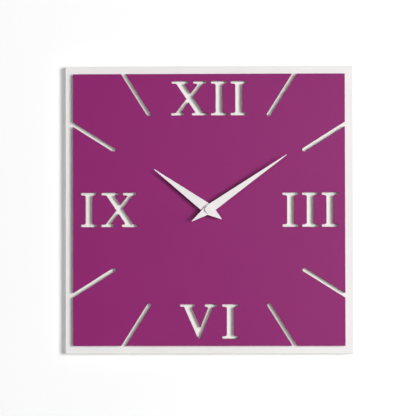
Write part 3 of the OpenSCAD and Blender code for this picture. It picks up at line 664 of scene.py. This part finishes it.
SLEEVE_OUTER = [(0.02, 1.7), (0.02, 0.5), (0.45, 0), (12, 0), (12.1, 0.02), (30, 0)]
SLEEVE_FOLD = [
    (-1.2, 0), (-0.9, 0.35), (-0.8, 0.6), (-0.45, 0.5), (-0.1, 0.75), (0, 1.1), (0, 1.9),
    (-0.3, 1.9), (-1.4, 0.9),
]
SLEEVE_INNER = [(1.2, 0.9), (0.3, 1.7)]
sleeve = bmesh.new()
sleeve_profile = (
    along_can(0, SLEEVE_OUTER) + along_can(can_long, SLEEVE_FOLD) + along_can(0, SLEEVE_INNER)
)
lathe_into(sleeve, sleeve_profile, can_start, (1, 0, 0), steps=96)
sleeve_piece = piece_of(sleeve, "cell_sleeve", "battery", "cell_sleeve")

ends = bmesh.new()
NEGATIVE = [
    (0.15, 6.1), (0.15, 5.2), (0.35, 4.7), (0.35, 2.4), (0.15, 2.1), (0.15, 0),
    (1.0, 0), (1.0, 6.1),
]
lathe_into(ends, in_mm(NEGATIVE), can_start, (1, 0, 0))
POSITIVE = [(-0.9, 0), (-0.9, 5.8), (-0.3, 5.8), (-0.25, 3.3), (0, 2.95)]
NUB = [(nub_long / MM - 0.25, 2.75), (nub_long / MM, 2.45), (nub_long / MM, 0)]
can_end = can_start + Vector((can_long, 0, 0))
lathe_into(ends, in_mm(POSITIVE + NUB), can_end, (1, 0, 0))
ends_piece = piece_of(ends, "cell_ends", "battery", "contact_steel")

gasket = bmesh.new()
GASKET = [(-0.35, 3.2), (-0.12, 3.4), (-0.12, 5.2), (-0.35, 5.4)]
lathe_into(gasket, in_mm(GASKET), can_end, (1, 0, 0))
piece_of(gasket, "cell_gasket", "battery", "black_rubber")
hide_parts("cell_can")
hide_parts("cell_terminal")

# The bush's thread, between the nut and the end of the bush
bush_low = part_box("centre_bush")[0]
nut_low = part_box("fixing_nut")[0]
THREAD_R = 4.0 * MM
THREAD_PITCH = 0.75 * MM
THREAD_HIGH = 0.28 * MM
THREAD_FOOT = THREAD_PITCH * 0.4       # half of the ridge's width where it leaves the bush
THREAD_START = 0.35 * MM               # from the bush's front end
THREAD_STOP = 0.1 * MM                 # short of the nut
THREAD_PROUD = 0.01 * MM               # how far even the faded thread stands off the bush
THREAD_LEAST = 0.05                    # the share of its height that the thread fades to
TURN_STEPS = 48
FADE_STEPS = 12                        # over which the thread runs in and out
thread = bmesh.new()
start_y = bush_low.y + THREAD_START
turns = (nut_low.y - start_y - THREAD_STOP) / THREAD_PITCH
sections = []
for step in range(int(turns * TURN_STEPS) + 1):
    turn = 2 * math.pi * step / TURN_STEPS
    fade = min(1.0, step / FADE_STEPS, (turns * TURN_STEPS - step) / FADE_STEPS)
    y = start_y + THREAD_PITCH * step / TURN_STEPS
    out = Vector((math.cos(turn), 0, math.sin(turn)))
    base = Vector((dial.x, y, dial.z))
    crest = THREAD_R + THREAD_PROUD + THREAD_HIGH * max(fade, THREAD_LEAST)
    sections.append([
        thread.verts.new(base + out * (THREAD_R - SKIN) - Vector((0, THREAD_FOOT, 0))),
        thread.verts.new(base + out * crest),
        thread.verts.new(base + out * (THREAD_R - SKIN) + Vector((0, THREAD_FOOT, 0))),
    ])
for here, there in zip(sections, sections[1:]):
    for point in range(3):
        follow = (point + 1) % 3
        thread.faces.new((here[point], here[follow], there[follow], there[point]))
thread.faces.new(sections[0])
thread.faces.new(sections[-1][::-1])
piece_of(thread, "bush_thread", "clock_body", "brass")

# A pressed bead round the hanging plate's edge
BEAD_IN = 1.2 * MM
BEAD_WIDTH = 1.0 * MM
BEAD_HIGH = 0.35 * MM
BEAD_CORNER = 2.4 * MM
plate_low, plate_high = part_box("hanger_plate")
bead = bmesh.new()
frame_into(
    bead,
    inset_outline(plate_low, plate_high, BEAD_IN, BEAD_CORNER),
    inset_outline(plate_low, plate_high, BEAD_IN + BEAD_WIDTH, BEAD_CORNER - BEAD_WIDTH),
    plate_high.y - SKIN,
    plate_high.y + BEAD_HIGH,
)
soften(piece_of(bead, "plate_bead", "clock_body", "zinc_plate"), width=0.2 * MM, steps=3)


# ---- Wall and floor ----------------------------------------------------------------------


def staged(mesh, name, material):
    """Puts a stage piece in the scene."""
    data = bpy.data.meshes.new(name)
    mesh.to_mesh(data)
    mesh.free()
    piece = bpy.data.objects.new(name, data)
    bpy.context.scene.collection.objects.link(piece)
    data.materials.append(material)
    piece.visible_shadow = False
    piece.visible_diffuse = False
    piece.visible_glossy = False
    return piece


def pale_paint(name, glow=0.0):
    """Pale matt paint. Where lamps don't reach it evenly, it can give light of its own."""
    f = Finish(name, Roughness=0.9, Specular_IOR_Level=0.1, Emission_Strength=glow)
    f.feed(rgb(1, 1, 1), f.shader.inputs["Emission Color"])
    f.paint(f.mix(f.noise(0.6, 2.0), rgb(0.94, 0.94, 0.94), rgb(0.93, 0.93, 0.93)))
    return f


WALL_HALF = 1.2
wall_finish = pale_paint("wall_paint")
clear = wall_finish.node("BsdfTransparent").outputs[0]
from_behind = wall_finish.node("NewGeometry").outputs["Backfacing"]
lit = wall_finish.shader.outputs[0]
one_sided = wall_finish.node("MixShader", {0: from_behind, 1: lit, 2: clear})
wall_finish.feed(one_sided.outputs[0], wall_finish.tree.nodes["Material Output"].inputs["Surface"])

wall = bmesh.new()
wall.faces.new([
    wall.verts.new((dial.x + x * WALL_HALF, wall_y, dial.z + z * WALL_HALF))
    for x, z in ((-1, -1), (1, -1), (1, 1), (-1, 1))
])
staged(wall, "wall", wall_finish.material)

# A studio cove: a floor that curves up into round walls and over into a ceiling
COVE_R = 5.0
COVE_BEND = 1.6
FLOOR_DROP = 1.6
CEILING = 3.2
BEND_STEPS = 16
COVE_SIDES = 96
COVE_GLOW = 0.8
SLIVER = 1e-6                          # the least area of a face, in square metres
floor_z = dial.z - FLOOR_DROP
ceiling_z = dial.z + CEILING
profile = [(floor_z, 0.0)]
for step in range(BEND_STEPS + 1):
    turn = math.pi / 2 * step / BEND_STEPS
    reach = COVE_R - COVE_BEND * (1 - math.sin(turn))
    profile.append((floor_z + COVE_BEND * (1 - math.cos(turn)), reach))
for step in range(BEND_STEPS + 1):
    turn = math.pi / 2 * step / BEND_STEPS
    reach = COVE_R - COVE_BEND * (1 - math.cos(turn))
    profile.append((ceiling_z - COVE_BEND * (1 - math.sin(turn)), reach))
profile.append((ceiling_z, 0.0))
cove = bmesh.new()
lathe_into(cove, profile, (dial.x, dial.y, 0), (0, 0, 1), steps=COVE_SIDES)
bmesh.ops.delete(cove, geom=[f for f in cove.faces if f.calc_area() < SLIVER], context="FACES")
bmesh.ops.recalc_face_normals(cove, faces=cove.faces)
bmesh.ops.reverse_faces(cove, faces=cove.faces)
for face in cove.faces:
    face.smooth = True
staged(cove, "floor", pale_paint("floor_paint", COVE_GLOW).material)


# ---- Light -------------------------------------------------------------------------------

AMBIENT = 0.03
SIDES = 1.2                            # extra light from all round the edges
SIDES_POWER = 4.0                      # how closely it gathers there
LOBE = 9.0                             # extra light from straight in front and behind
LOBE_POWER = 80.0
KEY_DIRECTION = Vector((0.45, -1.0, 0.04))
KEY_DISTANCE = 3.0
KEY_SIZE = 0.88
KEY_POWER = 79.0
REAR_DIRECTION = Vector((-0.6, 1.0, 0.5))
REAR_POWER = 55.0


def softbox(name, direction, power):
    """A square lamp that looks at the dial from a direction."""
    light = bpy.data.lights.new(name, "AREA")
    light.shape = "SQUARE"
    light.size = KEY_SIZE
    light.energy = power
    holder = bpy.data.objects.new(name, light)
    bpy.context.scene.collection.objects.link(holder)
    holder.location = dial + direction.normalized() * KEY_DISTANCE
    holder.rotation_euler = (-direction).to_track_quat("-Z", "Y").to_euler()


softbox("key", KEY_DIRECTION, KEY_POWER)
softbox("rear_key", REAR_DIRECTION, REAR_POWER)

world = bpy.data.worlds.new("studio")
bpy.context.scene.world = world
world.use_nodes = True
sky = world.node_tree
glow = sky.nodes["Background"]
glow.inputs["Color"].default_value = rgb(1, 1, 1)


def sky_node(kind, *inputs, operation=None):
    """The outputs of a new node of the world, fed by links and plain values in turn."""
    made = sky.nodes.new("ShaderNode" + kind)
    if operation:
        made.operation = operation
    for socket, value in zip(made.inputs, inputs):
        if isinstance(value, bpy.types.NodeSocket):
            sky.links.new(value, socket)
        else:
            socket.default_value = value
    return made.outputs


towards = sky_node("TexCoord")["Generated"]
facing = sky_node("Math", sky_node("SeparateXYZ", towards)["Y"], operation="ABSOLUTE")[0]
gathered = sky_node("Math", facing, LOBE_POWER, operation="POWER")[0]
frontal = sky_node("Math", gathered, LOBE, AMBIENT, operation="MULTIPLY_ADD")[0]
sideways = sky_node("Math", 1.0, facing, operation="SUBTRACT")[0]
around = sky_node("Math", sideways, SIDES_POWER, operation="POWER")[0]
strength = sky_node("Math", around, SIDES, frontal, operation="MULTIPLY_ADD")[0]
sky.links.new(strength, glow.inputs["Strength"])
bpy.context.scene.view_settings.view_transform = "Standard"


# ---- Camera ------------------------------------------------------------------------------

VIEW_WIDTH = 432.2 * MM
VIEW_DISTANCE = 2.0
VIEW_AZIMUTH = math.radians(1.05)
VIEW_ELEVATION = math.radians(-1.05)
VIEW_ROLL = math.radians(-0.1)
AIM_OFFSET = Vector((-0.95 * MM, 0, 1.8 * MM))
SENSOR_WIDTH = 36.0

camera_data = bpy.data.cameras.new("camera")
camera_data.sensor_width = SENSOR_WIDTH
camera_data.lens = SENSOR_WIDTH * VIEW_DISTANCE / VIEW_WIDTH
camera_data.clip_end = 100.0
camera = bpy.data.objects.new("camera", camera_data)
bpy.context.scene.collection.objects.link(camera)
aim = Vector((dial.x, panel_low.y, dial.z)) + AIM_OFFSET
level = math.cos(VIEW_ELEVATION)
sideways_on = math.sin(VIEW_AZIMUTH) * level
head_on = math.cos(VIEW_AZIMUTH) * level
back = Vector((sideways_on, -head_on, math.sin(VIEW_ELEVATION)))
camera.location = aim + back * VIEW_DISTANCE
roll = Quaternion((0, 0, 1), VIEW_ROLL)
camera.rotation_euler = ((-back).to_track_quat("-Z", "Y") @ roll).to_euler()
bpy.context.scene.camera = camera
